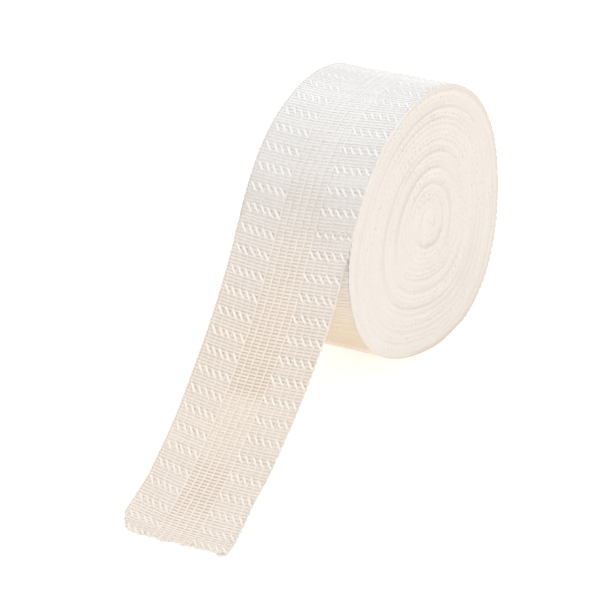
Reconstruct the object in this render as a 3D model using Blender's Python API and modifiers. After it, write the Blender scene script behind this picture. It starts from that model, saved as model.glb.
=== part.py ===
"""A roll of woven hem tape with its loose end lying out in front.

Metres, +Z up. The tape is wound about the X axis. Its loose end leaves the front of the roll (-Y) and comes
down to the surface that the roll stands on. The origin is the middle of the roll's flat spot.
"""
import math
from collections import namedtuple

import bmesh
import bpy
from mathutils import Vector

MM = 0.001

# The tape
TAPE_WIDTH = 25.0 * MM
TAPE_THICKNESS = 1.0 * MM
GAP = 0.3 * MM

# The wound roll: its mean radius, and the long waves that make it slightly out of round
ROLL_RADIUS = 26.3 * MM
Wave = namedtuple("Wave", "count height crest_angle")
ROLL_WAVES = (
    Wave(count=2, height=1.1 * MM, crest_angle=-29.0),
    Wave(count=3, height=0.9 * MM, crest_angle=0.0),
    Wave(count=4, height=0.35 * MM, crest_angle=-22.0),
)
LEAVING_ANGLE = 27.5            # where the loose end leaves: 0 is the front of the roll, 90 its top
STEP = TAPE_THICKNESS + GAP     # the roll is this much lower just below that place
FLAT_SPOT_DEPTH = 0.25 * MM     # how much of the roll's lowest curve is pressed flat
ROLL_SEGMENTS = 96
EDGE_ROUNDING = 0.4 * MM

# The two side faces: a spiral ridge for every three turns of tape, in to a flattened core
RIDGE_PITCH = 3.2 * MM
RIDGE_TURNS = 6
RIDGE_HEIGHT = 0.5 * MM
CORE_HALF_DEPTH = 1.0 * MM
CORE_HALF_HEIGHT = 3.2 * MM
CORE_RISE = 0.5 * MM
CORE_RECESS = 1.2 * MM
CORE_BELOW_FORM = STEP + RIDGE_PITCH * (RIDGE_TURNS + 1)

# The loose end: how steeply it runs down at some places along it, on the way to the floor
Bend = namedtuple("Bend", "along below_level")
LOOSE_END_BENDS = (
    Bend(along=16.0 * MM, below_level=43.5),
    Bend(along=32.5 * MM, below_level=36.4),
    Bend(along=49.0 * MM, below_level=29.5),
    Bend(along=57.5 * MM, below_level=25.0),
    Bend(along=62.0 * MM, below_level=0.0),
    Bend(along=64.0 * MM, below_level=0.0),
)
SIDE_DRIFT = -2.3 * MM          # the cut end lies this far along X from where the tape leaves the roll
CUT_SKEW = 1.8 * MM             # the tape is this much shorter along its -X edge than along its +X edge
CORNER_LIFT = 0.9 * MM          # the -X corner of the cut end lifts by this
CORNER_REACH = 6.0 * MM         # and its lift starts this far from the corner
PATH_STEPS = 400
LENGTH_CELLS = 46
WIDTH_CELLS = 8


def form_radius(angle):
    """Radius of the roll's form at an angle in degrees round it, before its step and its flat spot."""
    waves = [wave.height * math.cos(math.radians(wave.count * (angle - wave.crest_angle))) for wave in ROLL_WAVES]
    return ROLL_RADIUS + sum(waves)


def core_radius(angle):
    """Radius of the flattened core at an angle in degrees."""
    turn = math.radians(angle)
    across = CORE_HALF_HEIGHT * math.cos(turn)
    upward = CORE_HALF_DEPTH * math.sin(turn)
    return CORE_HALF_DEPTH * CORE_HALF_HEIGHT / math.hypot(across, upward)


def about_axis(angle, below_form):
    """(y, z) about the roll's axis, at an angle (0 in front, 90 on top) and a depth below the form."""
    share = below_form / CORE_BELOW_FORM
    radius = form_radius(angle) * (1 - share) + core_radius(angle) * share
    turn = math.radians(angle)
    return Vector((-radius * math.cos(turn), radius * math.sin(turn) + CORE_RISE * share))


def turn_angle(turn):
    """The angle after a share of a turn from just below the step, by way of the bottom, back and top."""
    return LEAVING_ANGLE - 360.0 * turn


def roll_axis():
    """(y, z) of the roll's axis that puts the middle of its flat spot at the origin."""
    turns = [i / 1440 for i in range(1440)]
    outline = [about_axis(turn_angle(turn), STEP * (1 - turn)) for turn in turns]
    lowest = min(outline, key=lambda point: point.y)
    return Vector((-lowest.x, -lowest.y - FLAT_SPOT_DEPTH))


AXIS = roll_axis()


def roll_point(x, turn, below_form):
    """A point of the roll, no lower than the surface that it stands on."""
    y, z = AXIS + about_axis(turn_angle(turn), below_form)
    return Vector((x, y, max(z, 0.0)))


def fan(bm, apex, chain):
    """Triangles from one vertex to each pair of neighbours in a chain of vertices."""
    for first, second in zip(chain, chain[1:]):
        bm.faces.new((apex, first, second))


def roll_half_mesh():
    """The +X half of the wound roll, open at x = 0: a side face with its spiral ridge, and the outer turn.

    Row 0 of the spiral runs round the core and the last row under the rim, half a ridge pitch apart, with
    ridges on the even rows. After a full turn each row meets the start of the row two places further out.
    """
    bm = bmesh.new()
    rows = 2 * RIDGE_TURNS
    turns = [i / ROLL_SEGMENTS for i in range(ROLL_SEGMENTS + 1)]
    rim = [bm.verts.new(roll_point(TAPE_WIDTH / 2 - EDGE_ROUNDING, turn, STEP * (1 - turn))) for turn in turns]
    middle = [bm.verts.new(roll_point(0.0, turn, STEP * (1 - turn))) for turn in turns]

    spiral = []
    for row in range(rows + 1):
        x = TAPE_WIDTH / 2 - (RIDGE_HEIGHT if row % 2 else 0.0)
        row_turns = turns if row == rows - 1 else turns[:-1]
        depths = [STEP + RIDGE_PITCH * ((rows - row) / 2 + 1 - turn) for turn in row_turns]
        spiral.append([bm.verts.new(roll_point(x, turn, depth)) for turn, depth in zip(row_turns, depths)])
    for row in range(rows - 1):
        spiral[row].append(spiral[row + 2][0])
    spiral[rows].append(rim[0])

    for row in range(rows):
        inner, outer = spiral[row], spiral[row + 1]
        for i in range(ROLL_SEGMENTS):
            bm.faces.new((inner[i], inner[i + 1], outer[i + 1], outer[i]))

    last = spiral[rows]
    fan(bm, last[1], (last[0], spiral[rows - 1][-1], rim[0]))
    bm.faces.new((last[1], rim[1], rim[0]))
    for i in range(1, ROLL_SEGMENTS):
        bm.faces.new((last[i], last[i + 1], rim[i + 1], rim[i]))

    core = bm.verts.new(roll_point(TAPE_WIDTH / 2 - CORE_RECESS, 0.0, CORE_BELOW_FORM))
    core.co.y = AXIS.x
    core.co.z = AXIS.y + CORE_RISE
    for i in range(ROLL_SEGMENTS - 1):
        bm.faces.new((core, spiral[0][i], spiral[0][i + 1]))
    fan(bm, spiral[0][-2], (spiral[2][0], spiral[1][0], spiral[0][0], core))

    for i in range(ROLL_SEGMENTS):
        bm.faces.new((rim[i], rim[i + 1], middle[i + 1], middle[i]))
    bm.faces.new((rim[0], rim[-1], middle[-1], middle[0]))

    bmesh.ops.recalc_face_normals(bm, faces=bm.faces)
    mesh = bpy.data.meshes.new("wound_roll")
    bm.to_mesh(mesh)
    bm.free()
    return mesh


def loose_end_start():
    """(y, z) and the downward slope in degrees where the middle of the loose end's thickness starts."""
    shell = [about_axis(LEAVING_ANGLE - offset, 0.0) for offset in (0.0, 0.1)]
    onward = (shell[1] - shell[0]).normalized()
    inward = Vector((-onward.y, onward.x))
    start = AXIS + shell[0] + inward * (TAPE_THICKNESS / 2) + onward * GAP
    return start, math.degrees(math.atan2(-onward.y, -onward.x))


def loose_end_path():
    """(y, z) points at equal steps along the loose end, from the roll to its cut end, and its length."""
    start, slope = loose_end_start()
    bends = (Bend(0.0, slope),) + LOOSE_END_BENDS
    step = bends[-1].along / PATH_STEPS
    run = [Vector((0.0, 0.0))]
    for i in range(PATH_STEPS):
        along = (i + 0.5) * step
        here = next(k for k in range(1, len(bends)) if along <= bends[k].along)
        before, after = bends[here - 1], bends[here]
        share = (along - before.along) / (after.along - before.along)
        heading = math.radians(before.below_level * (1 - share) + after.below_level * share)
        run.append(run[-1] + step * Vector((-math.cos(heading), -math.sin(heading))))
    reach = (start.y - TAPE_THICKNESS / 2) / -run[-1].y
    return [start + point * reach for point in run], bends[-1].along * reach


def loose_end_mesh():
    """The middle surface of the loose end, which the Solidify modifier thickens."""
    path, length = loose_end_path()
    bm = bmesh.new()
    grid = []
    for i in range(LENGTH_CELLS + 1):
        line = []
        for j in range(WIDTH_CELLS + 1):
            across = j / WIDTH_CELLS
            share = i / LENGTH_CELLS * (1 - (1 - across) * CUT_SKEW / length)
            to_cut = (1 - i / LENGTH_CELLS) * length
            lift = max(0.0, 1 - to_cut / CORNER_REACH) * max(0.0, 1 - across * TAPE_WIDTH / CORNER_REACH)
            at = share * PATH_STEPS
            below = min(int(at), PATH_STEPS - 1)
            y, z = path[below].lerp(path[below + 1], at - below)
            x = (across - 0.5) * TAPE_WIDTH + SIDE_DRIFT * share
            line.append(bm.verts.new((x, y, z + CORNER_LIFT * lift)))
        grid.append(line)
    for near, far in zip(grid, grid[1:]):
        for j in range(WIDTH_CELLS):
            bm.faces.new((near[j], near[j + 1], far[j + 1], far[j]))
    bmesh.ops.recalc_face_normals(bm, faces=bm.faces)
    mesh = bpy.data.meshes.new("loose_end")
    bm.to_mesh(mesh)
    bm.free()
    return mesh


def woven_polyester():
    """Cream white woven polyester."""
    material = bpy.data.materials.new("woven_polyester")
    material.use_nodes = True
    surface = material.node_tree.nodes["Principled BSDF"]
    surface.inputs["Base Color"].default_value = (0.83, 0.76, 0.67, 1.0)
    surface.inputs["Roughness"].default_value = 0.7
    surface.inputs["Metallic"].default_value = 0.0
    return material


def add_part(name, mesh, material, collection):
    """One named object of the tape, smooth apart from its real edges."""
    mesh.materials.append(material)
    mesh.shade_smooth()
    mesh.set_sharp_from_angle(angle=math.radians(40))
    part = bpy.data.objects.new(name, mesh)
    collection.objects.link(part)
    return part


def main():
    for old in list(bpy.data.objects):
        bpy.data.objects.remove(old)
    collection = bpy.data.collections.new("hem_tape_roll")
    bpy.context.scene.collection.children.link(collection)
    polyester = woven_polyester()

    roll = add_part("wound_roll", roll_half_mesh(), polyester, collection)
    mirror = roll.modifiers.new("other_half", "MIRROR")
    mirror.use_axis = (True, False, False)
    mirror.use_clip = True
    mirror.merge_threshold = 0.00001

    loose_end = add_part("loose_end", loose_end_mesh(), polyester, collection)
    thickness = loose_end.modifiers.new("thickness", "SOLIDIFY")
    thickness.thickness = TAPE_THICKNESS
    thickness.offset = 0.0
    thickness.use_even_offset = True


main()
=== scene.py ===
import math
from collections import namedtuple

import bpy
import numpy as np
from mathutils import Matrix, Vector


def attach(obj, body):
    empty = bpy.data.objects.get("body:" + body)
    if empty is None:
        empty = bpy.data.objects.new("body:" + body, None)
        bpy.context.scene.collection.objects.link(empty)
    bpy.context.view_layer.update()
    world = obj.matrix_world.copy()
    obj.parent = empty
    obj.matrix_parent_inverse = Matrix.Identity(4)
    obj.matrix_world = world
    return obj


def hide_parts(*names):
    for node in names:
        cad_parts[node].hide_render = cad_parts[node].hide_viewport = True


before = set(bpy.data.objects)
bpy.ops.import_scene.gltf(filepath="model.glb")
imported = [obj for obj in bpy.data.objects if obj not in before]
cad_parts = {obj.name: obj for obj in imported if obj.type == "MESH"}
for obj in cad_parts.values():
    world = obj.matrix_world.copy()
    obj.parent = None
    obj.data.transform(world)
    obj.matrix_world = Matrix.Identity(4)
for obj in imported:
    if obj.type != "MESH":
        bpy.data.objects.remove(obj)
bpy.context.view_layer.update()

RANDOM = np.random.default_rng(7)

# The roll's form and the loose end's path: the solids' sizes, but for a slightly fuller back of the roll and
# a smaller core, which is the tape's own innermost turn
MM = 0.001
TAPE_WIDTH = 25.0 * MM
TAPE_THICKNESS = 1.0 * MM
GAP = 0.3 * MM
ROLL_RADIUS = 26.4 * MM
Wave = namedtuple("Wave", "count height crest_angle")
ROLL_WAVES = (
    Wave(count=1, height=0.3 * MM, crest_angle=225.0),
    Wave(count=2, height=1.1 * MM, crest_angle=-29.0),
    Wave(count=3, height=0.9 * MM, crest_angle=0.0),
    Wave(count=4, height=0.35 * MM, crest_angle=-22.0),
)
LEAVING_ANGLE = 27.5            # where the loose end leaves: 0 is the front of the roll, 90 its top
STEP = TAPE_THICKNESS + GAP     # the roll is this much lower just below that place
FLAT_SPOT_DEPTH = 0.25 * MM     # how much of the roll's lowest curve is pressed flat
ABOVE_FLOOR = 0.02 * MM         # no yarn lies lower than this
CORE_HALF_DEPTH = 1.1 * MM
CORE_HALF_HEIGHT = 1.5 * MM
CORE_RISE = 0.9 * MM
CORE_BACK = 1.0 * MM
CORE_BELOW_FORM = STEP + 22.4 * MM
Bend = namedtuple("Bend", "along below_level")
LOOSE_END_BENDS = (
    Bend(along=16.0 * MM, below_level=43.5),
    Bend(along=32.5 * MM, below_level=36.4),
    Bend(along=49.0 * MM, below_level=29.5),
    Bend(along=57.5 * MM, below_level=25.0),
    Bend(along=62.0 * MM, below_level=0.0),
    Bend(along=64.0 * MM, below_level=0.0),
)
SIDE_DRIFT = -2.3 * MM

# How finely these curves are worked out
OUTLINE_STEPS = 1440
PATH_STEPS = 400
ROLL_STEPS = 3000
LINE_STEP = 0.05 * MM
SMALL_ANGLE = 0.1               # degrees round the roll, over which its slope is taken
SMOOTHING_STEPS = 15            # the slope of the tape is smoothed over so many steps to either side
NO_LENGTH = 1e-12               # added to lengths that may be nothing, before something is divided by them

# How far to the +X side of a straight tape's edges this tape's -X edge and +X edge lie, on the roll and on
# the loose end
ROLL_SHIFT = 0.25 * MM
EdgeMove = namedtuple("EdgeMove", "along minus_x plus_x")
EDGE_MOVES = (
    EdgeMove(along=-142.0 * MM, minus_x=ROLL_SHIFT, plus_x=-0.1 * MM),
    EdgeMove(along=-125.0 * MM, minus_x=ROLL_SHIFT, plus_x=ROLL_SHIFT),
    EdgeMove(along=-70.0 * MM, minus_x=ROLL_SHIFT, plus_x=ROLL_SHIFT),
    EdgeMove(along=-45.0 * MM, minus_x=0.45 * MM, plus_x=ROLL_SHIFT),
    EdgeMove(along=-32.0 * MM, minus_x=0.45 * MM, plus_x=ROLL_SHIFT),
    EdgeMove(along=-20.0 * MM, minus_x=0.22 * MM, plus_x=ROLL_SHIFT),
    EdgeMove(along=-4.0 * MM, minus_x=0.3 * MM, plus_x=ROLL_SHIFT),
    EdgeMove(along=2.0 * MM, minus_x=0.05 * MM, plus_x=0.05 * MM),
    EdgeMove(along=6.0 * MM, minus_x=0.15 * MM, plus_x=-0.1 * MM),
    EdgeMove(along=10.0 * MM, minus_x=0.2 * MM, plus_x=0.1 * MM),
    EdgeMove(along=15.0 * MM, minus_x=0.27 * MM, plus_x=0.35 * MM),
    EdgeMove(along=22.0 * MM, minus_x=0.36 * MM, plus_x=0.28 * MM),
    EdgeMove(along=30.0 * MM, minus_x=0.45 * MM, plus_x=0.23 * MM),
    EdgeMove(along=38.0 * MM, minus_x=0.76 * MM, plus_x=0.05 * MM),
    EdgeMove(along=46.0 * MM, minus_x=0.77 * MM, plus_x=-0.1 * MM),
    EdgeMove(along=51.0 * MM, minus_x=0.8 * MM, plus_x=-0.4 * MM),
    EdgeMove(along=58.0 * MM, minus_x=-0.08 * MM, plus_x=-0.18 * MM),
    EdgeMove(along=62.0 * MM, minus_x=0.3 * MM, plus_x=0.4 * MM),
)

# The cut end: straight but for its rounded -X corner
CUT_AT = 63.1 * MM
CORNER_ACROSS = 5.2 * MM
CORNER_ALONG = 5.6 * MM

# How far out of the middle of the solid's thickness the tape's middle lies, on the roll and on the loose end,
# whose cut end lies on the floor
Proud = namedtuple("Proud", "along out")
LOOSE_END_PROUD = (
    Proud(along=-9.0 * MM, out=0.2 * MM),
    Proud(along=-1.0 * MM, out=0.05 * MM),
    Proud(along=5.0 * MM, out=0.1 * MM),
    Proud(along=15.0 * MM, out=0.2 * MM),
    Proud(along=52.0 * MM, out=0.2 * MM),
    Proud(along=61.0 * MM, out=-0.15 * MM),
)
BELOW_PROUD = 0.98 * MM         # and how far out it lies just below the place where the loose end leaves
BELOW_REACH = 16.0 * MM         # over this distance it comes back to the solid's middle

# How strongly the yarns stand out: weakly where the roll's weight presses them flat, and where they are drawn
# smooth over its top
Relief = namedtuple("Relief", "along share")
RELIEF = (
    Relief(along=-142.0 * MM, share=0.1),
    Relief(along=-110.0 * MM, share=0.45),
    Relief(along=-35.0 * MM, share=0.45),
    Relief(along=-18.0 * MM, share=0.8),
    Relief(along=0.0, share=1.0),
    Relief(along=42.0 * MM, share=1.0),
    Relief(along=58.0 * MM, share=0.7),
)
CHAIN_EVENNESS = 0.25           # the chains' height goes with this power of it, so they keep more of theirs

# The weave: straight picks across the tape, held by columns of chain stitches along it
PICK_PITCH = 0.67 * MM
PICK_PITCH_LOSS = 0.0007        # the pitch falls by so much for each metre along the loose end
LAST_PICKS_LOSS = 0.12 * MM     # and by so much more in the last stretch before the cut
LAST_PICKS_FROM = 53.0 * MM
PICKS_PAST_CUT = 1.5 * MM       # picks are placed this far past the cut, which then cuts them
COLUMNS = 16
COLUMN_PITCH = 1.6 * MM
COLUMN_SHIFT = 0.35 * MM        # the columns lie this far to the +X side of the tape's middle
MIDDLE_COLUMNS = range(5, 11)   # those of the open band, without floats between them
SELVEDGE = TAPE_WIDTH / 2 - 0.05 * MM
LAYER_PITCH = 0.97 * MM         # from one turn of tape to the next further in, as depth below the form

# The picks are slightly bowed, and skewed more and more along the tape
BOW_REACH = 4.0 * MM
BOW_SLOPE = 4.5                 # degrees by which the picks slope at either edge, against their middle
BOW_MIDDLE = -3.0 * MM
SKEW_AT_START = -0.3            # degrees, where the loose end leaves the roll
SKEW_GROWTH = 0.09              # degrees more for each millimetre along the tape
LEAST_SKEW = -1.5
MOST_SKEW = 4.5


def about_axis(angle, below_form):
    """(y, z) about the roll's axis, at angles (0 in front, 90 on top) and depths below its form."""
    turn = np.radians(angle)
    form = ROLL_RADIUS
    for wave in ROLL_WAVES:
        form = form + wave.height * np.cos(wave.count * (turn - math.radians(wave.crest_angle)))
    across, upward = CORE_HALF_HEIGHT * np.cos(turn), CORE_HALF_DEPTH * np.sin(turn)
    core = CORE_HALF_DEPTH * CORE_HALF_HEIGHT / np.hypot(across, upward)
    share = below_form / CORE_BELOW_FORM
    radius = form * (1 - share) + core * share
    y = CORE_BACK * share - radius * np.cos(turn)
    z = CORE_RISE * share + radius * np.sin(turn)
    return np.stack([y, z], axis=-1)


def roll_axis():
    """(y, z) of the roll's axis that puts the middle of its flat spot at the origin."""
    turn = np.arange(OUTLINE_STEPS) / OUTLINE_STEPS
    outline = about_axis(LEAVING_ANGLE - 360 * turn, STEP * (1 - turn))
    lowest = outline[outline[:, 1].argmin()]
    return np.array([-lowest[0], -lowest[1] - FLAT_SPOT_DEPTH])


AXIS = roll_axis()


def loose_end_path():
    """(y, z) points of the middle of the loose end's thickness, from the roll to the cut, and its length."""
    shell = about_axis(LEAVING_ANGLE - np.array([0.0, SMALL_ANGLE]), 0.0)
    onward = shell[1] - shell[0]
    onward /= np.hypot(*onward)
    inward = np.array([-onward[1], onward[0]])
    start = AXIS + shell[0] + inward * TAPE_THICKNESS / 2 + onward * GAP
    along = np.array([0.0] + [bend.along for bend in LOOSE_END_BENDS])
    slopes = [math.degrees(math.atan2(-onward[1], -onward[0]))]
    slopes += [bend.below_level for bend in LOOSE_END_BENDS]
    stations = np.linspace(0.0, along[-1], PATH_STEPS + 1)
    step = stations[1]
    heading = np.radians(np.interp(stations[:-1] + step / 2, along, slopes))
    run = np.cumsum(step * np.stack([-np.cos(heading), -np.sin(heading)], axis=-1), axis=0)
    run = np.concatenate([[[0.0, 0.0]], run])
    reach = (start[1] - TAPE_THICKNESS / 2) / -run[-1, 1]
    return start + run * reach, along[-1] * reach


def smooth_step(share):
    """From 0 to 1, level at both ends."""
    share = np.clip(share, 0, 1)
    return share * share * (3 - 2 * share)


def tape_line():
    """The line of the tape's middle, at small even steps, with 0 where it leaves the roll.

    Gives the distance along the tape, (y, z) and the outward normal at each step, and the loose end's length.
    """
    turn = np.linspace(0, 1, ROLL_STEPS)
    on_roll = AXIS + about_axis(LEAVING_ANGLE - 360 * turn, STEP * (1 - turn) + TAPE_THICKNESS / 2)
    on_roll[:, 1] = np.maximum(on_roll[:, 1], TAPE_THICKNESS / 2)
    path, length = loose_end_path()
    line = np.concatenate([on_roll, path])
    travel = np.concatenate([[0.0], np.cumsum(np.hypot(*np.diff(line, axis=0).T))])
    start = travel[len(on_roll)]
    even = np.arange(0.0, travel[-1], LINE_STEP)
    line = np.stack([np.interp(even, travel, line[:, i]) for i in range(2)], axis=-1)
    tangent = np.gradient(line, axis=0)
    window = np.hanning(2 * SMOOTHING_STEPS + 1)
    window /= window.sum()
    padded = np.pad(tangent, ((SMOOTHING_STEPS, SMOOTHING_STEPS), (0, 0)), mode="edge")
    tangent = np.stack([np.convolve(padded[:, i], window, mode="valid") for i in range(2)], axis=-1)
    tangent /= np.hypot(*tangent.T)[:, None]
    normal = np.stack([tangent[:, 1], -tangent[:, 0]], axis=-1)
    return even - start, line, normal, length


LINE_AT, LINE, LINE_NORMAL, LOOSE_LENGTH = tape_line()


def cut_at(across):
    """How far along the tape its cut lies, at a distance across it."""
    into_corner = np.clip((CORNER_ACROSS - TAPE_WIDTH / 2 - across) / CORNER_ACROSS, 0, 1)
    return CUT_AT - CORNER_ALONG * (1 - np.sqrt(1 - into_corner ** 2))


def tape_normal(along):
    """The tape's outward normal, for each distance along it."""
    y, z = (np.interp(along, LINE_AT, LINE_NORMAL[:, i]) for i in range(2))
    return np.stack([np.zeros_like(y), y, z], axis=-1)


def relief(along):
    """The share of their full height by which yarns stand out, for each distance along the tape."""
    return np.interp(along, *zip(*RELIEF))


def tape_point(along, across, out):
    """Points of the tape, from how far along, across and out of its middle surface they lie."""
    along, across, out = np.broadcast_arrays(along, across, out)
    y, z = (np.interp(along, LINE_AT, LINE[:, i]) for i in range(2))
    beyond = np.clip(along - LINE_AT[-1], 0, None)
    y = y - beyond
    places, minus_x, plus_x = zip(*EDGE_MOVES)
    share = across / TAPE_WIDTH + 0.5
    x = across + np.interp(along, places, minus_x) * (1 - share) + np.interp(along, places, plus_x) * share
    x = x + SIDE_DRIFT * np.clip(along, 0, None) / LOOSE_LENGTH
    out = out * relief(along) + np.interp(along, *zip(*LOOSE_END_PROUD))
    out = out + BELOW_PROUD * (1 - smooth_step((along - LINE_AT[0]) / BELOW_REACH))
    return np.stack([x, y, z], axis=-1) + out[..., None] * tape_normal(along)


class Builder:
    """Collects grids and tubes of points, and makes one mesh object of them."""

    def __init__(self):
        self.points, self.quads, self.caps, self.marks = [], [], [], []
        self.count = 0

    def tubes(self, points, normals, half_width, half_height, sides, marks):
        """Closed tubes along points[k, i], flattened along normals; marks[k, i] are kept for the shader."""
        runs, length = points.shape[:2]
        tangent = np.gradient(points, axis=1)
        tangent /= np.linalg.norm(tangent, axis=-1, keepdims=True) + NO_LENGTH
        side = np.cross(tangent, np.broadcast_to(normals, points.shape))
        side /= np.linalg.norm(side, axis=-1, keepdims=True) + NO_LENGTH
        upward = np.cross(side, tangent)
        turn = np.arange(sides) / sides * 2 * math.pi
        half_width = np.broadcast_to(half_width, (runs, length))[..., None, None]
        half_height = np.broadcast_to(half_height, (runs, length))[..., None, None]
        ring = (points[:, :, None] + side[:, :, None] * half_width * np.cos(turn)[:, None]
                + upward[:, :, None] * half_height * np.sin(turn)[:, None])
        index = self.count + np.arange(runs * length * sides).reshape(runs, length, sides)
        around = np.roll(index, -1, axis=2)
        quads = np.stack([index[:, :-1], index[:, 1:], around[:, 1:], around[:, :-1]], axis=-1)
        self.quads.append(quads.reshape(-1, 4))
        self.caps += [index[:, 0], index[:, -1, ::-1]]
        self.points.append(ring.reshape(-1, 3))
        self.marks.append(np.repeat(np.broadcast_to(marks, (runs, length, 3)).reshape(-1, 3), sides, axis=0))
        self.count += runs * length * sides

    def grid(self, points, marks):
        """A surface over points[i, j]."""
        rows, columns = points.shape[:2]
        index = self.count + np.arange(rows * columns).reshape(rows, columns)
        quads = np.stack([index[:-1, :-1], index[1:, :-1], index[1:, 1:], index[:-1, 1:]], axis=-1)
        self.quads.append(quads.reshape(-1, 4))
        self.points.append(points.reshape(-1, 3))
        self.marks.append(np.broadcast_to(marks, points.shape).reshape(-1, 3))
        self.count += rows * columns

    def piece(self, name, material, *nodes):
        """One object on the body, which stands for the nodes.

        What would be below the floor is pressed flat on it.
        """
        points = np.concatenate(self.points)
        points[:, 2] = np.maximum(points[:, 2], ABOVE_FLOOR)
        quads = np.concatenate(self.quads)
        faces = [quads] + self.caps
        loops = np.concatenate([face.ravel() for face in faces])
        sizes = np.concatenate([np.full(len(face), face.shape[1]) for face in faces])
        mesh = bpy.data.meshes.new(name)
        mesh.vertices.add(self.count)
        mesh.vertices.foreach_set("co", points.astype(np.float32).ravel())
        mesh.loops.add(len(loops))
        mesh.loops.foreach_set("vertex_index", loops.astype(np.int32))
        mesh.polygons.add(len(sizes))
        mesh.polygons.foreach_set("loop_start", np.concatenate([[0], np.cumsum(sizes)[:-1]]).astype(np.int32))
        mesh.update(calc_edges=True)
        mesh.validate()
        mesh.shade_smooth()
        marks = mesh.attributes.new("tape", "FLOAT_VECTOR", "POINT")
        marks.data.foreach_set("vector", np.concatenate(self.marks).astype(np.float32).ravel())
        mesh.materials.append(material)
        piece = bpy.data.objects.new(name, mesh)
        bpy.context.scene.collection.objects.link(piece)
        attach(piece, "root")
        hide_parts(*nodes)
        return piece


def node(tree, kind, *in_order, **named):
    """A shader node with some of its inputs set or linked, by their order or by their names."""
    made = tree.nodes.new(kind)
    inputs = list(zip(made.inputs, in_order))
    inputs += [(made.inputs[name.replace("_", " ")], value) for name, value in named.items()]
    for socket, value in inputs:
        if isinstance(value, bpy.types.NodeSocket):
            tree.links.new(value, socket)
        else:
            socket.default_value = value
    return made


def colour_ramp(tree, place, colours):
    """A colour that runs through (place along the tape in mm, colour) stops."""
    first, last = colours[0][0], colours[-1][0]
    share = node(tree, "ShaderNodeMapRange", Value=place, From_Min=first, From_Max=last)
    stops = node(tree, "ShaderNodeValToRGB", Fac=share.outputs["Result"])
    stops.color_ramp.interpolation = "EASE"
    ramp = stops.color_ramp.elements
    for at, colour in colours[1:-1]:
        ramp.new((at - first) / (last - first))
    for stop, (at, colour) in zip(ramp, colours):
        stop.color = (*colour, 1)
    return stops.outputs["Color"]


# The surface of the polyester: soft clouds of lightness and the fine grain of its fibres, per metre
CLOUD_SCALE = 150.0
CLOUD_DETAIL = 3.0
CLOUD_TONES = (0.3, 0.7)        # what the clouds' values run from and to
YARN_TONES = (0.3, 1.2)         # and what they do with the yarns' own shades added to them
GRAIN_SCALE = 9000.0
GRAIN_DETAIL = 2.0
GRAIN_STRENGTH = 0.25
GRAIN_DEPTH = 0.05 * MM
SHEEN = 0.1
SHEEN_ROUGHNESS = 0.5
SPECULAR = 0.35
LIGHT_SPREAD = (1.0, 1.0, 1.0)  # the light that enters a yarn spreads alike in red, green and blue
LIGHT_REACH = 0.1 * MM
# The places of a Mix node's sockets for colours
MIX_SHARE, MIX_FIRST, MIX_SECOND, MIX_RESULT = 0, 6, 7, 2


def cloth_material(name, colours, roughness, shades, translucence=0.0, filled_colours=None):
    """Polyester whose colours change along the tape, with light and shade painted into them.

    The filled colours show where the third of the tape's marks nears 1. Without them, that mark is a yarn's
    own shade.
    """
    material = bpy.data.materials.new(name)
    material.use_nodes = True
    tree = material.node_tree
    surface = tree.nodes["Principled BSDF"]
    tape = tree.nodes.new("ShaderNodeAttribute")
    tape.attribute_name = "tape"
    parts = node(tree, "ShaderNodeSeparateXYZ", Vector=tape.outputs["Vector"])
    along, shade = parts.outputs["X"], parts.outputs["Z"]
    place = tree.nodes.new("ShaderNodeTexCoord").outputs["Object"]
    clouds = node(tree, "ShaderNodeTexNoise", Vector=place, Scale=CLOUD_SCALE, Detail=CLOUD_DETAIL)
    colour = colour_ramp(tree, along, colours)
    if filled_colours:
        both = node(tree, "ShaderNodeMix")
        both.data_type = "RGBA"
        tree.links.new(shade, both.inputs[MIX_SHARE])
        tree.links.new(colour, both.inputs[MIX_FIRST])
        tree.links.new(colour_ramp(tree, along, filled_colours), both.inputs[MIX_SECOND])
        colour = both.outputs[MIX_RESULT]
        tone, (darkest, lightest) = clouds.outputs["Fac"], CLOUD_TONES
    else:
        added = node(tree, "ShaderNodeMath", shade, clouds.outputs["Fac"])
        added.operation = "ADD"
        tone, (darkest, lightest) = added.outputs["Value"], YARN_TONES
    spread = node(tree, "ShaderNodeMapRange", Value=tone, From_Min=darkest, From_Max=lightest,
                  To_Min=1 - shades, To_Max=1 + shades)
    shaded = node(tree, "ShaderNodeHueSaturation", Color=colour, Value=spread.outputs["Result"])
    tree.links.new(shaded.outputs["Color"], surface.inputs["Base Color"])

    grain = node(tree, "ShaderNodeTexNoise", Vector=place, Scale=GRAIN_SCALE, Detail=GRAIN_DETAIL)
    bump = node(tree, "ShaderNodeBump", Height=grain.outputs["Fac"], Strength=GRAIN_STRENGTH,
                Distance=GRAIN_DEPTH)
    tree.links.new(bump.outputs["Normal"], surface.inputs["Normal"])
    surface.inputs["Roughness"].default_value = roughness
    surface.inputs["Sheen Weight"].default_value = SHEEN
    surface.inputs["Sheen Roughness"].default_value = SHEEN_ROUGHNESS
    surface.inputs["Specular IOR Level"].default_value = SPECULAR
    surface.inputs["Subsurface Weight"].default_value = translucence
    surface.inputs["Subsurface Radius"].default_value = LIGHT_SPREAD
    surface.inputs["Subsurface Scale"].default_value = LIGHT_REACH
    return material


def column_place(column):
    """How far across the tape a column of chain stitches lies."""
    return (column - (COLUMNS - 1) / 2) * COLUMN_PITCH + COLUMN_SHIFT


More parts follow.
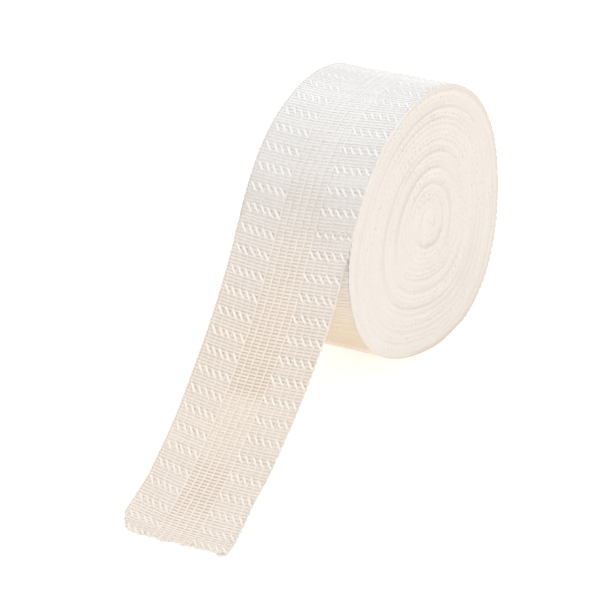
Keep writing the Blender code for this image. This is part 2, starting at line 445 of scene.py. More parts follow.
# The picks: a flat yarn that dips under the columns of chain stitches and rises between them
PICK_HALF_WIDTH = 0.2 * MM
PICK_HALF_HEIGHT = 0.11 * MM
PICK_SIDES = 6
PICK_UNDER_COLUMN = -0.04 * MM
PICK_BETWEEN_COLUMNS = 0.03 * MM
PRESSED_WIDENING = 0.9          # a pick that is pressed quite flat is this share wider
PRESSED_THINNING = 0.5          # and this share thinner
PICK_SHADES = 0.5               # the shades of the picks run from 0 to this
# How unevenly they lie: each pick, its loops across the tape, its size, and its points along it
PICK_WANDER = 0.02 * MM
EDGE_WANDER = 0.02 * MM
PICK_SIZE_SPREAD = 0.06
PICK_RIPPLE = 0.012 * MM
# The loops between the picks, as degrees round their half circle
LOOP_REACH = 0.2 * MM
LOOP_TURN = (-80.0, -40.0, 0.0, 40.0, 80.0)
LOOP_CLEARANCE = 0.1 * MM       # a pick's own points end this far short of its loops


def pick_places():
    """How far along the tape each pick crosses its middle, and how many of them are on the roll."""
    places = [0.0]
    while places[-1] < CUT_AT + PICKS_PAST_CUT:
        near_cut = smooth_step((places[-1] - LAST_PICKS_FROM) / (CUT_AT - LAST_PICKS_FROM))
        places.append(places[-1] + PICK_PITCH - PICK_PITCH_LOSS * places[-1] - LAST_PICKS_LOSS * near_cut)
    on_roll = [-PICK_PITCH]
    while on_roll[-1] > LINE_AT[0] + PICK_PITCH:
        on_roll.append(on_roll[-1] - PICK_PITCH)
    return np.array(on_roll[::-1] + places), len(on_roll)


PICK_AT, PICKS_ON_ROLL = pick_places()
PICKS = len(PICK_AT)
PICK_SHIFT = RANDOM.normal(0, PICK_WANDER, PICKS + 2)
PICK_EDGE = RANDOM.normal(0, EDGE_WANDER, (PICKS + 2, 2))
PICK_SIZE = RANDOM.normal(1, PICK_SIZE_SPREAD, PICKS + 2)
PICK_SHADE = RANDOM.random(PICKS + 2) * PICK_SHADES


def pick_along(pick, across):
    """How far along the tape a pick lies, at a distance across it."""
    start = np.interp(pick, np.arange(PICKS), PICK_AT)
    skew = np.tan(np.radians(np.clip(SKEW_GROWTH * start / MM + SKEW_AT_START, LEAST_SKEW, MOST_SKEW)))
    bend = np.log(np.cosh((across - BOW_MIDDLE) / BOW_REACH)) - math.log(math.cosh(BOW_MIDDLE / BOW_REACH))
    return start + skew * across - math.radians(BOW_SLOPE) * BOW_REACH * bend


def pick_run(pick):
    """Points (along, across, out) of one pick from the -X selvedge to the +X one, a little uneven."""
    at_columns = column_place(np.arange(COLUMNS))
    between = (at_columns[:-1] + at_columns[1:]) / 2
    across = np.sort(np.concatenate([at_columns, between]))
    out = np.where(np.isin(across, at_columns), PICK_UNDER_COLUMN, PICK_BETWEEN_COLUMNS)
    along = pick_along(pick, across) + PICK_SHIFT[pick] + RANDOM.normal(0, PICK_RIPPLE, len(across))
    inside = np.abs(across) < SELVEDGE - LOOP_REACH - LOOP_CLEARANCE
    return np.stack([along, across, out], axis=-1)[inside]


def selvedge_loop(pick, side):
    """Points (along, across, out) of the loop that joins a pick to the next one, at the +X or -X edge."""
    edge = side * (SELVEDGE + PICK_EDGE[pick, (side + 1) // 2] - LOOP_REACH)
    turn = np.radians(LOOP_TURN)
    this, following = pick_along(pick, edge), pick_along(pick + 1, edge)
    along = (this + following) / 2 + (following - this) / 2 * np.sin(turn)
    across = edge + side * LOOP_REACH * np.sqrt(np.cos(turn))
    return np.stack([along, across, np.zeros_like(turn)], axis=-1)


def picks(builder, first, last):
    """The weft from one pick to another: one yarn to and fro, with loops at the selvedges."""
    whole, size, shade = [], [], []
    for pick in range(first, last):
        side = 1 if pick % 2 == 0 else -1
        points = np.concatenate([pick_run(pick)[::side], selvedge_loop(pick, side)])
        inside = points[:, 0] < cut_at(points[:, 1])
        if inside.all() and len(whole) == pick - first:
            whole.append(points)
            size.append(np.full(len(points), PICK_SIZE[pick]))
            shade.append(np.full(len(points), PICK_SHADE[pick]))
        elif inside.sum() > 2:
            yarn(builder, points[inside], PICK_SIZE[pick], PICK_SHADE[pick])
    yarn(builder, *(np.concatenate(values) for values in (whole, size, shade)))


def yarn(builder, run, size, shade):
    """One weft yarn along (along, across, out) points."""
    along, across, _ = run.T
    marks = np.stack(np.broadcast_arrays(along / MM, across / MM, shade), axis=-1)[None]
    pressed = 1 - relief(along)
    width = PICK_HALF_WIDTH * size * (1 + PRESSED_WIDENING * pressed)
    height = PICK_HALF_HEIGHT * size * (1 - PRESSED_THINNING * pressed)
    builder.tubes(tape_point(*run.T)[None], tape_normal(along)[None], width, height, PICK_SIDES, marks)


# The chain stitches, and the thread along each selvedge
CHAIN_STITCH = np.array([
    # picks on, out of the tape's middle surface in mm, radius in mm
    (0.00, 0.10, 0.230), (0.28, 0.09, 0.200), (0.50, 0.06, 0.160), (0.72, 0.08, 0.185),
])
CHAIN_SIDES = 5
CHAIN_FLATNESS = 0.55           # their height as a share of their width
EDGE_CHAIN_SIZE = 0.68          # the size of the chains beside the open band, as a share of those in it
SELVEDGE_THREAD_SIZE = 0.85
SELVEDGE_THREAD_IN = 0.1 * MM
CHAIN_SIZE_SPREAD = 0.1
CHAIN_SWAY = 0.035 * MM
CHAIN_WAVE = 0.05 * MM          # each column also winds by this to either side
CHAIN_WAVE_PICKS = 9            # over so many picks its wave goes on by one radian
CUT_WANDER = (-0.15 * MM, 0.3 * MM)     # from how far before the cut to how far past it they end
MIDDLE_CHAIN_SHADES = (0.3, 0.5)
EDGE_CHAIN_SHADES = (0.0, 0.2)


def chains(builder, first, last):
    """The columns of chain stitches between two picks, and a thread along each selvedge."""
    threads = [(column_place(column), 1.0 if column in MIDDLE_COLUMNS else EDGE_CHAIN_SIZE)
               for column in range(COLUMNS)]
    threads += [(side * (SELVEDGE - SELVEDGE_THREAD_IN), SELVEDGE_THREAD_SIZE) for side in (-1, 1)]
    for middle, size in threads:
        stitches = np.arange(first, last)[:, None]
        on = (stitches + CHAIN_STITCH[:, 0]).ravel()
        out = np.tile(CHAIN_STITCH[:, 1], last - first) * MM * size
        radius = np.tile(CHAIN_STITCH[:, 2], last - first) * MM * size
        uneven = np.repeat(RANDOM.normal(1, CHAIN_SIZE_SPREAD, last - first), len(CHAIN_STITCH))
        sway = np.repeat(RANDOM.normal(0, CHAIN_SWAY, last - first), len(CHAIN_STITCH))
        sway = sway + CHAIN_WAVE * np.sin(on / CHAIN_WAVE_PICKS + middle / MM)
        across = middle + sway * (size != SELVEDGE_THREAD_SIZE)
        along = pick_along(on, across)
        keep = along < cut_at(across) + RANDOM.uniform(*CUT_WANDER)
        out, radius, uneven, across, along = (values[keep] for values in (out, radius, uneven, across, along))
        points = tape_point(along, across, out)[None]
        shade = RANDOM.uniform(*(MIDDLE_CHAIN_SHADES if size == 1.0 else EDGE_CHAIN_SHADES))
        marks = np.stack([along / MM, across / MM, np.full_like(along, shade)], axis=-1)[None]
        height = radius * CHAIN_FLATNESS * uneven * relief(along) ** CHAIN_EVENNESS
        builder.tubes(points, tape_normal(along)[None], radius * uneven, height, CHAIN_SIDES, marks)


# The floats, in rows across the two patterned bands
FLOAT_STITCH = np.array([
    # picks on, columns across, out of the tape's middle surface in mm
    (-1.15, -0.05, -0.12), (-1.00, 0.05, 0.07), (-0.82, 0.17, 0.14), (-0.45, 0.35, 0.17), (0.00, 0.50, 0.18),
    (0.45, 0.65, 0.17), (0.82, 0.83, 0.14), (1.00, 0.95, 0.07), (1.15, 1.05, -0.12), (2.10, 0.85, -0.22),
    (3.00, 0.50, -0.24), (3.90, 0.15, -0.22),
])
FLOAT_REPEAT = 6                # picks from one row of floats to the next
MINUS_X_PHASE = 2.85            # picks by which the rows are moved on, in the band at either edge
PLUS_X_PHASE = 0.5
FLOAT_HALF_WIDTH = 0.28 * MM
FLOAT_HALF_HEIGHT = 0.13 * MM
FLOAT_SIDES = 7
FLOAT_WANDER = (0.12, 0.04, 0.03)       # in picks on, columns across and mm out
SUNK_FLOAT = -0.1               # at this place out, in mm, a float has its smallest size
SUNK_FLOAT_SIZE = 0.55
RAISED_FLOAT = 0.15             # and at this place its full size
FLOAT_SHADE = 0.75


def floats(builder, first, last):
    """The thick yarns of the two edge bands, which float from one column to the next in slanting stitches."""
    rows = range((first - PICKS_ON_ROLL) // FLOAT_REPEAT - 1, (last - PICKS_ON_ROLL) // FLOAT_REPEAT + 2)
    for column in range(COLUMNS - 1):
        if column in MIDDLE_COLUMNS and column + 1 in MIDDLE_COLUMNS:
            continue
        phase = MINUS_X_PHASE if column < MIDDLE_COLUMNS[0] else PLUS_X_PHASE
        run = []
        for row in rows:
            wander = RANDOM.normal(0, 1, 3) * FLOAT_WANDER
            lifted = np.where(FLOAT_STITCH[:, 2] > 0, wander[2], 0.0)
            on = PICKS_ON_ROLL + row * FLOAT_REPEAT + phase + FLOAT_STITCH[:, 0] + wander[0]
            run.append(np.stack([on, FLOAT_STITCH[:, 1] + wander[1], FLOAT_STITCH[:, 2] + lifted], axis=-1))
        run = np.concatenate(run)
        run = run[(run[:, 0] >= first) & (run[:, 0] < last)]
        across = column_place(column + run[:, 1])
        along = pick_along(run[:, 0], across)
        keep = along < cut_at(across)
        run, across, along = run[keep], across[keep], along[keep]
        points = tape_point(along, across, run[:, 2] * MM)[None]
        marks = np.stack([along / MM, across / MM, np.full_like(along, FLOAT_SHADE)], axis=-1)[None]
        size = np.interp(run[:, 2], [SUNK_FLOAT, RAISED_FLOAT], [SUNK_FLOAT_SIZE, 1.0])
        height = FLOAT_HALF_HEIGHT * size * relief(along)
        builder.tubes(points, tape_normal(along)[None], FLOAT_HALF_WIDTH * size, height, FLOAT_SIDES, marks)


# The fibres that stand out of the cut, and the web behind the picks, whose tan on the loose end is painted
# shade
FRAY_FIBRES = 200
FIBRE_RADIUS = 0.03 * MM
FIBRE_SIDES = 4
FIBRE_STEPS = 5
FIBRE_SHADE = 0.2
FIBRE_LENGTHS = (0.15 * MM, 0.5 * MM)
FIBRE_ROOT = 0.4 * MM           # a fibre starts this far inside the cut
FIBRE_LEAN = 0.35
FIBRE_RISE = (-0.05 * MM, 0.15 * MM)
FRAY_FROM = -TAPE_WIDTH / 2 + 1.5 * MM
FRAY_TO = TAPE_WIDTH / 2 - 0.2 * MM
TUFTS = (-1.0 * MM, 11.4 * MM)  # how far across the tape the cut has a small tuft
TUFT_FIBRES = 14
TUFT_SPREAD = 0.3 * MM
TUFT_LENGTHS = (0.4 * MM, 1.0 * MM)
WEB_COLUMNS = 73
ROLL_WEB_ROWS = 200
LOOSE_WEB_ROWS = 90
WEB_OUT = -0.03 * MM
WEB_MARGIN = 0.1 * MM           # the web ends this far inside the selvedges
WEB_BEFORE_CUT = 0.3 * MM       # and this far before the cut
OPEN_BEFORE_FIRST = 0.7 * MM    # the open band starts this far before its first column
OPEN_BEFORE_LAST = 0.3 * MM     # and ends this far before its last one
OPEN_CHANGE = 1.0 * MM          # each time within this distance


def fray(builder):
    """Fine ends of fibre that stand out of the cut, and the longer ones of two small tufts."""
    across = RANDOM.uniform(FRAY_FROM, FRAY_TO, FRAY_FIBRES)
    length = RANDOM.uniform(*FIBRE_LENGTHS, FRAY_FIBRES)
    for tuft in TUFTS:
        in_tuft = RANDOM.choice(FRAY_FIBRES, TUFT_FIBRES, replace=False)
        across[in_tuft] = tuft + RANDOM.normal(0, TUFT_SPREAD, TUFT_FIBRES)
        length[in_tuft] = RANDOM.uniform(*TUFT_LENGTHS, TUFT_FIBRES)
    steps = np.linspace(0, 1, FIBRE_STEPS)
    lean = RANDOM.normal(0, FIBRE_LEAN, (FRAY_FIBRES, 1))
    along = cut_at(across)[:, None] - FIBRE_ROOT + (length[:, None] + FIBRE_ROOT) * steps
    places = across[:, None] + lean * length[:, None] * steps ** 2
    out = RANDOM.uniform(*FIBRE_RISE, (FRAY_FIBRES, 1)) * (1 - steps)
    marks = np.stack(np.broadcast_arrays(along / MM, places / MM, FIBRE_SHADE), axis=-1)
    points = tape_point(along, places, out)
    builder.tubes(points, tape_normal(along), FIBRE_RADIUS, FIBRE_RADIUS, FIBRE_SIDES, marks)


def backing(builder, start, end, rows):
    """The thin web of fine yarn behind the picks; on the loose end its tan is painted shade, the shade seen
    through the gaps between them.
    """
    across = np.linspace(-1, 1, WEB_COLUMNS)[None] * (SELVEDGE - WEB_MARGIN)
    share = np.linspace(0, 1, rows)[:, None]
    along = start + (np.minimum(end, cut_at(across) - WEB_BEFORE_CUT) - start) * share
    points = tape_point(along, across, WEB_OUT)
    opened = smooth_step((across - column_place(MIDDLE_COLUMNS[0]) + OPEN_BEFORE_FIRST) / OPEN_CHANGE)
    closed = smooth_step((across - column_place(MIDDLE_COLUMNS[-1]) + OPEN_BEFORE_LAST) / OPEN_CHANGE)
    marks = np.stack(np.broadcast_arrays(along / MM, across / MM, 1 - opened + closed), axis=-1)
    builder.grid(points, marks)


# How many turns of tape are wound, counted inward from where the loose end leaves, and how unevenly they lie
WOUND_TURNS = (CORE_BELOW_FORM - STEP - TAPE_THICKNESS / 2) / LAYER_PITCH
Ripple = namedtuple("Ripple", "height pace phase")
DEPTH_RIPPLES = (
    Ripple(height=0.09 * MM, pace=2.3, phase=1.0),
    Ripple(height=0.06 * MM, pace=7.9, phase=0.0),
    Ripple(height=0.04 * MM, pace=13.7, phase=2.0),
)
SIDE_RIPPLES = (
    Ripple(height=0.13 * MM, pace=1.7, phase=0.6),
    Ripple(height=0.09 * MM, pace=4.1, phase=2.2),
    Ripple(height=0.06 * MM, pace=9.3, phase=0.0),
)
LEVEL_TURNS = 0.8               # so many turns in, the edges of the turns start to lie unevenly
STEP_WIDTH = 0.06               # in turns: how soon a turn inside the outer one has taken its step
STEP_TURNS = 3                  # and over how many turns inward that step fades
TURNS_ABOVE_FLOOR = 0.3 * MM    # no edge of a turn is lower than this

# How clearly the turns show on the faces: most at this angle round the roll and opposite it
CLEAREST_ANGLE = 112.0
CLEAREST_SECTOR = 1.5           # the higher, the narrower these sectors are
RING_CHANGE = Ripple(height=0.35, pace=1.3, phase=0.4)

# Where the faces' tones lie in their colours: cream, the warmer cream of the painted shade between the turns,
# and the tan of the painted shade along the outer turn's edge
FACE_CREAM, FACE_WARM, FACE_RIM_SHADE = -61.0, -59.0, -57.0


def ripple(turns, *ripples):
    """The sum of some waves, so many turns inward."""
    return sum(wave.height * np.sin(wave.pace * turns + wave.phase) for wave in ripples)


def turn_depth(turns):
    """Depth below the form of the middle of the tape, so many turns inward.

    Under the outer turn, the tape keeps one layer's pitch below it, and its step fades away further inward.
    """
    part = turns % 1
    extra = STEP - LAYER_PITCH
    step = extra * (part + np.exp(-part / STEP_WIDTH) - 1) * np.exp(-(turns - 1) / STEP_TURNS)
    inner = TAPE_THICKNESS / 2 + extra + LAYER_PITCH * turns + step
    inner = inner + ripple(turns, *DEPTH_RIPPLES) * np.clip(turns - 1, 0, 1)
    return np.where(turns < 1, TAPE_THICKNESS / 2 + STEP * turns, inner)


def side_shift(turns):
    """How far the turn lies to the +X side: the turns of a hand-wound roll aren't quite level."""
    return ROLL_SHIFT + ripple(turns, *SIDE_RIPPLES) * np.clip(turns - LEVEL_TURNS, 0, 1)


def turn_point(x, turns, depth):
    """A point inside the roll, so many turns inward and so deep below the form."""
    y, z = np.moveaxis(AXIS + about_axis(LEAVING_ANGLE + 360 * turns, depth), -1, 0)
    return np.stack([x + np.zeros_like(y), y, np.maximum(z, TURNS_ABOVE_FLOOR)], axis=-1)


def ring_strength(turns):
    """How clearly the turns stand apart, from 0 to 1: most above and below the core."""
    angle = LEAVING_ANGLE + 360 * turns
    sector = (1 + np.cos(2 * np.radians(angle - CLEAREST_ANGLE))) / 2
    return sector ** CLEAREST_SECTOR * (1 - RING_CHANGE.height + ripple(turns, RING_CHANGE))


# A face's grid: each row runs over one turn's edge, from the groove outside it to the groove inside it
ROWS_A_TURN = 180
RIDGE_FLANK = 0.6               # places between the turn's middle and a groove, as shares of the way
RIDGE_TOP = 0.25
RIM_OUT = 0.3 * MM              # the outer turn's edge ends this far outside its middle
# How deep the rim, grooves and ridges lie inside the tape's edge, and how much deeper where the rings are
# clearest
RIM_SUNK = 0.2 * MM
GROOVE_SUNK = 0.07 * MM
GROOVE_DEEPER = 0.16 * MM
GROOVE_CHANGE = Ripple(height=0.03 * MM, pace=5.3, phase=0.0)
RIDGE_SUNK = 0.01 * MM
RIDGE_DEEPER = 0.08 * MM
FLANK_SUNK = 0.03 * MM          # deeper than the ridge
CORE_SUNK = 0.5 * MM
CORE_RINGS = np.array([0.0, 0.4, 0.8, 1.0])
# The tones and shades over one turn's edge, which paint shade: a warmer tint in the grooves where the turns
# stand apart most, and the ridges' tops a little lighter than the grooves; and the tan line of painted shade
# along the outer turn's edge
EDGE_SHADE_TONES = np.array([0.9, 0.5, 0.3, 0.3, 0.5, 0.9])
EDGE_PAINTED_SHADES = (0.0, 0.3, 0.4, 0.4, 0.3, 0.0)
RIM_TONE = -59.3
# A line of painted shade along the outer turn's edge, tan, where the roll's surface turns away from the light
RimPaintedShade = namedtuple("RimPaintedShade", "start full fading end strength")
RIM_PAINTED_SHADE = RimPaintedShade(start=0.1, full=0.25, fading=0.7, end=0.82, strength=0.9)    # in turns
RIM_SHADE_UP_TO_TONE = -59.5           # it shows only on tones up to this one
# The marks of the core and of the two ends of the spiral
INNER_MARKS = ((FACE_CREAM + FACE_WARM) / 2, 0.0, 0.2)


def wound_edges(builder, side):
    """The edges of the turns on one face: a ridge for each turn, with a groove between it and the next."""
    turns = np.arange(0, WOUND_TURNS, 1 / ROWS_A_TURN)
    outer = turns < 1 + 0.5 / ROWS_A_TURN
    here = turn_depth(turns)
    inward = np.minimum((here + turn_depth(turns + 1)) / 2, CORE_BELOW_FORM)
    raised = BELOW_PROUD * (1 - smooth_step((turns - 1) * LINE_AT[0] / BELOW_REACH))
    outward = np.where(outer, here - RIM_OUT - raised, (here + turn_depth(turns - 1)) / 2)
    over_ridge = [here + (outward - here) * share for share in (RIDGE_FLANK, RIDGE_TOP)]
    over_ridge += [here + (inward - here) * share for share in (RIDGE_TOP, RIDGE_FLANK)]
    depths = np.stack([outward, *over_ridge, inward], axis=-1)

    strength = ring_strength(turns)
    groove = GROOVE_SUNK + GROOVE_DEEPER * strength + ripple(turns, GROOVE_CHANGE)
    next_groove = np.concatenate([groove[ROWS_A_TURN:], groove[-ROWS_A_TURN:]])
    ridge = RIDGE_SUNK + RIDGE_DEEPER * strength
    flank = ridge + FLANK_SUNK
    sunk = np.stack([np.where(outer, RIM_SUNK, groove), flank, ridge, ridge, flank, next_groove], axis=-1)
    shift = side_shift(turns)
    shift_out, shift_in = (shift + side_shift(turns - 1)) / 2, (shift + side_shift(turns + 1)) / 2
    x = side * (TAPE_WIDTH / 2 - sunk) + np.stack([shift_out, shift, shift, shift, shift, shift_in], axis=-1)
    along_turns = np.broadcast_to(turns[:, None], x.shape)
    points = turn_point(x, along_turns, depths)

    # Painted shade: the grooves take a warmer tint where the turns stand apart most
    tone = FACE_CREAM + (FACE_WARM - FACE_CREAM) * strength[:, None] * EDGE_SHADE_TONES
    tone[:, 0] = np.where(turns < 1, RIM_TONE, tone[:, 0])
    # Painted shade: the tan line along the outer turn's edge, from where it starts to where it fades
    line = smooth_step((turns - RIM_PAINTED_SHADE.start) / (RIM_PAINTED_SHADE.full - RIM_PAINTED_SHADE.start))
    line = line * (1 - smooth_step((turns - RIM_PAINTED_SHADE.fading) / (RIM_PAINTED_SHADE.end - RIM_PAINTED_SHADE.fading)))
    tone += ((FACE_RIM_SHADE - FACE_CREAM) * RIM_PAINTED_SHADE.strength * line)[:, None] * (tone < RIM_SHADE_UP_TO_TONE)
    marks = np.stack([tone, along_turns, np.broadcast_to(EDGE_PAINTED_SHADES, x.shape)], axis=-1)
    builder.grid(points[:, ::side], marks[:, ::side])
    for end in (points[0], points[-1]):
        builder.grid(np.stack([end, np.linspace(end[0], end[-1], len(end))]), INNER_MARKS)

    last_turn = points[-ROWS_A_TURN - 1:, -1]
    last_turn = np.concatenate([last_turn, last_turn[:1]])
    centre = (ROLL_SHIFT + side * (TAPE_WIDTH / 2 - CORE_SUNK), *(AXIS + (CORE_BACK, CORE_RISE)))
    core = last_turn[:, None] + (centre - last_turn)[:, None] * CORE_RINGS[:, None]
    builder.grid(core[:, ::side], INNER_MARKS)


# The picks' loops on the faces
EDGE_LOOPS_FROM = 0.97          # they start so many turns inward
EDGE_LOOPS_LEFT = 0.02          # and end so many turns before the last
EDGE_LOOP_STEPS = 20000
EDGE_LOOP_SPACING = 2 * PICK_PITCH
EDGE_LOOP_REACH = 0.4 * MM
EDGE_LOOP_SUNK = 0.19 * MM      # a loop ends this far inside the tape's edge
EDGE_LOOP_HALF_WIDTH = 0.27 * MM
EDGE_LOOP_HALF_HEIGHT = 0.3 * MM
EDGE_LOOP_SIDES = 6
EDGE_LOOP_TURN = (-90.0, -50.0, -17.0, 17.0, 50.0, 90.0)
# The loops take the same warmer tint of painted shade where the turns stand apart most
EDGE_LOOP_SHADE_TONE = 1.2
EDGE_LOOP_SHADES = 0.5
# How unevenly they lie along the tape, and how much their width, reach and tilt differ
EDGE_LOOP_WANDER = 0.06 * MM
EDGE_LOOP_WIDTH_SPREAD = 0.03 * MM
EDGE_LOOP_REACH_SPREAD = 0.02 * MM
EDGE_LOOP_TILT = 0.04 * MM


def edge_loops(builder, side):
    """The picks' loops along the edges of all the turns on one face."""
    fine = np.linspace(EDGE_LOOPS_FROM, WOUND_TURNS - EDGE_LOOPS_LEFT, EDGE_LOOP_STEPS)
    line = turn_point(0.0, fine, turn_depth(fine))
    travel = np.concatenate([[0.0], np.cumsum(np.linalg.norm(np.diff(line, axis=0), axis=1))])
    places = np.arange(0, travel[-1], EDGE_LOOP_SPACING)
    loops = len(places)
    places = places + RANDOM.normal(0, EDGE_LOOP_WANDER, loops)
    half = PICK_PITCH / 2 + RANDOM.normal(0, EDGE_LOOP_WIDTH_SPREAD, loops)
    turn = np.radians(EDGE_LOOP_TURN)
    at = places[:, None] + half[:, None] * np.sin(turn)
    turns = np.interp(at, travel, fine)
    reach = (EDGE_LOOP_REACH + RANDOM.normal(0, EDGE_LOOP_REACH_SPREAD, loops))[:, None]
    tilt = RANDOM.normal(0, EDGE_LOOP_TILT, loops)[:, None]
    from_middle = TAPE_WIDTH / 2 - EDGE_LOOP_SUNK - EDGE_LOOP_REACH + reach * np.cos(turn)
    depth = turn_depth(turns) - tilt * np.cos(turn)
    points = turn_point(side * from_middle + side_shift(turns), turns, depth)
    outward = points - [0.0, *AXIS]
    outward[..., 0] = 0
    outward /= np.linalg.norm(outward, axis=-1, keepdims=True)
    shade = np.broadcast_to(RANDOM.random(loops)[:, None] * EDGE_LOOP_SHADES, turns.shape)
    marks = np.stack([FACE_CREAM + EDGE_LOOP_SHADE_TONE * ring_strength(turns), turns, shade], axis=-1)
    builder.tubes(points, outward, EDGE_LOOP_HALF_WIDTH, EDGE_LOOP_HALF_HEIGHT, EDGE_LOOP_SIDES, marks)


# Colours along the tape, in mm from where it leaves the roll: on the roll's underside and top, and on the
# loose end. They hold painted light and shade: lighter and cooler on the roll's top, darker with painted
# shade down its front towards where the loose end leaves, and warmer on the loose end with painted light that
# comes through its single layer
# Painted light on the roll's front below the loose end: near white where the crevice under the loose end lies
# in shade, then a warm tan for the warm light thrown up from the floor and through the sheer tape
UNDERSIDE_PAINTED_LIGHT = (
    (-160.0, (0.98, 0.97, 0.94)), (-153.0, (0.98, 0.95, 0.90)), (-150.0, (0.975, 0.88, 0.80)),
    (-148.0, (0.943, 0.848, 0.763)), (-145.5, (0.90, 0.795, 0.68)), (-143.5, (0.90, 0.785, 0.665)),
    (-141.0, (0.86, 0.745, 0.60)), (-138.5, (0.83, 0.70, 0.545)), (-136.5, (0.785, 0.65, 0.50)),
    (-125.0, (0.83, 0.73, 0.62)),
)
# Painted light and shade in the yarns' colours: cool and light on the roll's top, darker down its front, warm
# on the loose end
PICK_COLOURS = UNDERSIDE_PAINTED_LIGHT + (
    (-105.0, (0.86, 0.82, 0.78)), (-60.0, (0.835, 0.83, 0.83)), (-28.0, (0.84, 0.84, 0.845)),
    (-22.0, (0.81, 0.805, 0.805)), (-15.0, (0.75, 0.738, 0.732)), (-5.0, (0.725, 0.695, 0.67)),
    (5.0, (0.78, 0.725, 0.68)), (20.0, (0.80, 0.73, 0.665)), (64.0, (0.825, 0.755, 0.70)),
)
CHAIN_COLOURS = UNDERSIDE_PAINTED_LIGHT + (
    (-105.0, (0.87, 0.83, 0.79)), (-60.0, (0.845, 0.84, 0.84)), (-28.0, (0.845, 0.845, 0.85)),
    (-22.0, (0.82, 0.815, 0.81)), (-15.0, (0.77, 0.758, 0.752)), (-5.0, (0.745, 0.715, 0.692)),
    (5.0, (0.80, 0.75, 0.71)), (20.0, (0.83, 0.765, 0.705)), (64.0, (0.85, 0.79, 0.74)),
)
FLOAT_COLOURS = UNDERSIDE_PAINTED_LIGHT + (
    (-105.0, (0.86, 0.82, 0.78)), (-60.0, (0.81, 0.805, 0.805)), (-28.0, (0.82, 0.82, 0.825)),
    (-22.0, (0.81, 0.805, 0.805)), (-15.0, (0.805, 0.79, 0.785)), (-5.0, (0.79, 0.765, 0.745)),
    (5.0, (0.81, 0.77, 0.74)), (20.0, (0.83, 0.775, 0.725)), (42.0, (0.83, 0.775, 0.725)),
    (55.0, (0.82, 0.76, 0.71)), (64.0, (0.83, 0.77, 0.72)),
)
# Painted shade in the web's colours on the loose end: the shade seen through the gaps, darker where the
# roll's shaded front and the floor's shadow lie behind, lighter where the lit floor does
WEB_COLOURS_AND_SHADE = UNDERSIDE_PAINTED_LIGHT + (
    (-60.0, (0.845, 0.84, 0.835)), (-25.0, (0.845, 0.84, 0.84)), (-15.0, (0.80, 0.78, 0.765)),
    (-5.0, (0.705, 0.66, 0.615)), (10.0, (0.69, 0.61, 0.52)), (30.0, (0.65, 0.55, 0.44)),
    (34.0, (0.80, 0.72, 0.63)), (43.0, (0.80, 0.72, 0.63)), (48.0, (0.63, 0.53, 0.42)),
    (58.0, (0.67, 0.57, 0.47)), (64.0, (0.78, 0.69, 0.60)),
)
# The edge bands' web, lighter with its thicker yarns, carries the same painted light and shade along the tape
FILLED_COLOURS = UNDERSIDE_PAINTED_LIGHT + (
    (-60.0, (0.84, 0.835, 0.835)), (-25.0, (0.795, 0.795, 0.795)), (-15.0, (0.775, 0.77, 0.765)),
    (0.0, (0.69, 0.66, 0.63)), (20.0, (0.675, 0.61, 0.55)), (40.0, (0.75, 0.69, 0.63)),
    (50.0, (0.72, 0.66, 0.60)), (64.0, (0.77, 0.715, 0.655)),
)
# On the faces, from cream to the tan of the painted shade along the outer turn's edge
FACE_COLOURS = ((FACE_CREAM, (0.722, 0.673, 0.633)), (FACE_WARM, (0.745, 0.70, 0.655)))
GROOVE_COLOURS = (
    (FACE_CREAM, (0.722, 0.673, 0.633)), (FACE_WARM, (0.74, 0.69, 0.64)), (FACE_RIM_SHADE, (0.69, 0.62, 0.555)),
)
YARN_SHADES = 0.03              # how much lighter and darker than their colours the yarns get
PLAIN_SHADES = 0.02             # and how much the web and the faces do
YARN_TRANSLUCENCE = 0.6


def yarn_material(name, colours, roughness, shades=YARN_SHADES):
    """Polyester yarn, which lets in some of the light."""
    return cloth_material(name, colours, roughness, shades, YARN_TRANSLUCENCE)


def tape_pieces():
    """The tape on the roll's outside and the loose end, yarn by yarn."""
    kinds = (
        ("picks", picks, yarn_material("pick_yarn", PICK_COLOURS, roughness=0.6)),
        ("chains", chains, yarn_material("chain_yarn", CHAIN_COLOURS, roughness=0.55)),
        ("floats", floats, yarn_material("float_yarn", FLOAT_COLOURS, roughness=0.5)),
    )
    web = cloth_material("web_with_painted_shade", WEB_COLOURS_AND_SHADE, roughness=0.8, shades=PLAIN_SHADES,
                         filled_colours=FILLED_COLOURS)
    stretches = (("roll", "wound_roll", 0, PICKS_ON_ROLL), ("loose", "loose_end", PICKS_ON_ROLL, PICKS - 1))

    for name, node_name, first, last in stretches:
        for kind, fill, material in kinds:
            builder = Builder()
            fill(builder, first, last)
            builder.piece(f"{name}_{kind}", material, node_name)
    builder = Builder()
    fray(builder)
    builder.piece("loose_fray", kinds[0][2], "loose_end")
    builder = Builder()
    backing(builder, LINE_AT[0], 0.0, ROLL_WEB_ROWS)
    builder.piece("roll_web", web, "wound_roll")
    builder = Builder()
    backing(builder, 0.0, CUT_AT, LOOSE_WEB_ROWS)
    loose_shade_web = builder.piece("loose_shade_web", web, "loose_end")


def wound_faces():
    """The two faces of the roll, with the edges of all its turns."""
    ridges = cloth_material("wound_edges", GROOVE_COLOURS, roughness=0.8, shades=PLAIN_SHADES)
    loops = yarn_material("edge_yarn", FACE_COLOURS, roughness=0.6, shades=PLAIN_SHADES)
    for side, word in ((1, "near"), (-1, "far")):
        builder = Builder()
        wound_edges(builder, side)
        builder.piece(f"{word}_face", ridges, "wound_roll")
        builder = Builder()
        edge_loops(builder, side)
        builder.piece(f"{word}_edge_loops", loops, "wound_roll")


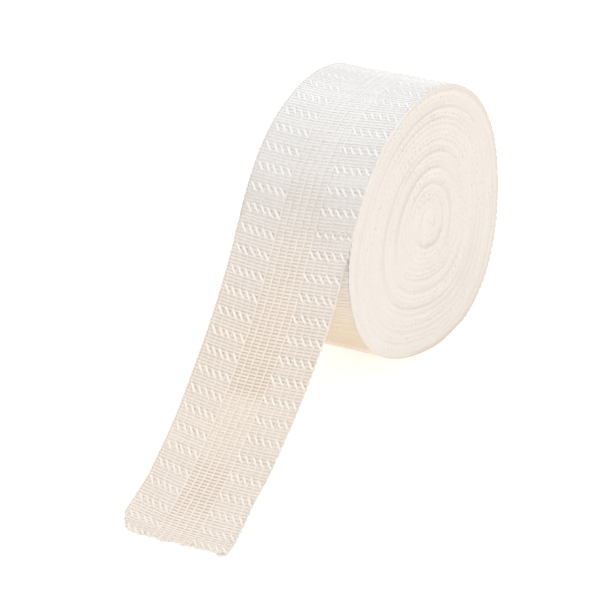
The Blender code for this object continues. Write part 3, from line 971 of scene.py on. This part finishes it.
# The photograph's view, fitted to the roll's outline and the edges of the loose end
VIEW_AZIMUTH = 39.4
VIEW_ELEVATION = 33.1
VIEW_ROLL = -11.5
VIEW_CENTRE = Vector((-5.56, -19.42, 14.24)) * MM
VIEW_DISTANCE = 824.9 * MM
LENS = 260.3                    # in mm, as is the sensor's width
SENSOR_WIDTH = 36.0
SIGHT = 20.0                    # in metres: all nearer than this is drawn


def camera():
    """The camera at the photograph's viewing angle."""
    azimuth, elevation, roll = (math.radians(angle) for angle in (VIEW_AZIMUTH, VIEW_ELEVATION, VIEW_ROLL))
    out = math.cos(elevation)
    back = Vector((math.sin(azimuth) * out, -math.cos(azimuth) * out, math.sin(elevation)))
    level = Vector((math.cos(azimuth), math.sin(azimuth), 0.0))
    upright = back.cross(level)
    right = level * math.cos(roll) + upright * math.sin(roll)
    facing = Matrix((right, back.cross(right), back)).transposed().to_4x4()
    made = bpy.data.objects.new("camera", bpy.data.cameras.new("camera"))
    made.data.lens = LENS
    made.data.sensor_width = SENSOR_WIDTH
    made.data.clip_end = SIGHT
    made.matrix_world = Matrix.Translation(VIEW_CENTRE + back * VIEW_DISTANCE) @ facing
    bpy.context.scene.collection.objects.link(made)
    bpy.context.scene.camera = made


# The studio: a pale floor that glows a little, a bright even sky and two soft lights, in metres and watts
FLOOR_REACH = 3.0
FLOOR_CORNERS = [(x * FLOOR_REACH, y * FLOOR_REACH, 0.0) for x, y in ((-1, -1), (1, -1), (1, 1), (-1, 1))]
FLOOR_COLOUR = (0.93, 0.93, 0.93, 1)
FLOOR_ROUGHNESS = 0.9
FLOOR_SPECULAR = 0.1
FLOOR_GLOW_COLOUR = (1.0, 0.99, 0.97, 1)
FLOOR_GLOW = 0.38
SKY_COLOUR = (1.0, 0.985, 0.965, 1)
SKY_STRENGTH = 0.98
Light = namedtuple("Light", "name place size power colour")
LIGHTS = (
    Light("top_light", place=(-0.3, -0.1, 0.9), size=0.6, power=1.4, colour=(1.0, 1.0, 1.0)),
    Light("side_light", place=(0.8, -0.35, 0.5), size=0.5, power=0.8, colour=(1.0, 0.96, 0.92)),
)


def pale_floor():
    """The floor that the roll stands on."""
    mesh = bpy.data.meshes.new("floor")
    mesh.from_pydata(FLOOR_CORNERS, [], [(0, 1, 2, 3)])
    floor = bpy.data.objects.new("floor", mesh)
    bpy.context.scene.collection.objects.link(floor)
    paint = bpy.data.materials.new("pale_floor")
    paint.use_nodes = True
    surface = paint.node_tree.nodes["Principled BSDF"]
    surface.inputs["Base Color"].default_value = FLOOR_COLOUR
    surface.inputs["Emission Color"].default_value = FLOOR_GLOW_COLOUR
    surface.inputs["Emission Strength"].default_value = FLOOR_GLOW
    surface.inputs["Roughness"].default_value = FLOOR_ROUGHNESS
    surface.inputs["Specular IOR Level"].default_value = FLOOR_SPECULAR
    mesh.materials.append(paint)


def soft_light(light):
    """A round light that faces the origin."""
    lamp = bpy.data.lights.new(light.name, "AREA")
    lamp.shape = "DISK"
    lamp.size = light.size
    lamp.energy = light.power
    lamp.color = light.colour
    made = bpy.data.objects.new(light.name, lamp)
    made.location = light.place
    made.rotation_mode = "QUATERNION"
    made.rotation_quaternion = (-Vector(light.place)).to_track_quat("-Z", "Y")
    bpy.context.scene.collection.objects.link(made)


def studio():
    """The floor, the sky and the lights."""
    pale_floor()
    world = bpy.data.worlds.new("studio")
    bpy.context.scene.world = world
    world.use_nodes = True
    sky = world.node_tree.nodes["Background"]
    sky.inputs["Color"].default_value = SKY_COLOUR
    sky.inputs["Strength"].default_value = SKY_STRENGTH
    for light in LIGHTS:
        soft_light(light)
    bpy.context.scene.view_settings.view_transform = "Standard"


camera()
tape_pieces()
wound_faces()
studio()
